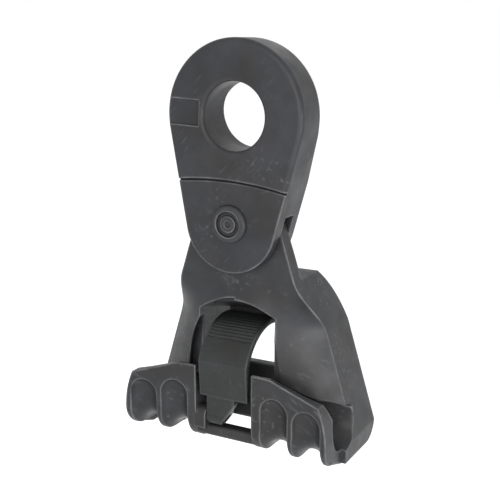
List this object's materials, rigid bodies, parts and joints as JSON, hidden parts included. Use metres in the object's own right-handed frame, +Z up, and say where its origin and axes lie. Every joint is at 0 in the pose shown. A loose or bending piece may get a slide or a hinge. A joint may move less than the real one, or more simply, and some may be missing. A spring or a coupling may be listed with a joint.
{
  "type": "suspension clamp",
  "caption": "Moulded plastic suspension clamp with a hanging eye link, a swinging bell-shaped body, a messenger trough and a hinged ratchet keeper.",
  "frame": {"origin": "centre of the hanging eye's bore", "axes": "X along the messenger to the viewer's right, Y along the eye bore towards the back, Z up"},
  "size_m": [0.0852, 0.0438, 0.1481],
  "materials": {
    "link": "satin moulded",
    "pin": "satin moulded",
    "body": "satin moulded",
    "keeper": "satin moulded"
  },
  "bodies": {
    "link": {"hanger_link": "link", "pivot_pin": "pin", "pin_cap": "pin"},
    "clamp": {"clamp_body": "body", "keeper_pin": "pin"},
    "keeper_arm": {"keeper": "keeper"}
  },
  "joints": [
    {"name": "body_swing", "type": "hinge", "parent": "link", "child": "clamp", "pos_m": [-0.00196, 0, -0.03735], "axis": [0, 1, 0], "range_deg": [-18, 24]},
    {"name": "keeper_open", "type": "hinge", "parent": "clamp", "child": "keeper_arm", "pos_m": [-0.00196, -0.0082, -0.10915], "axis": [1, 0, 0], "range_deg": [0, 75]}
  ]
}
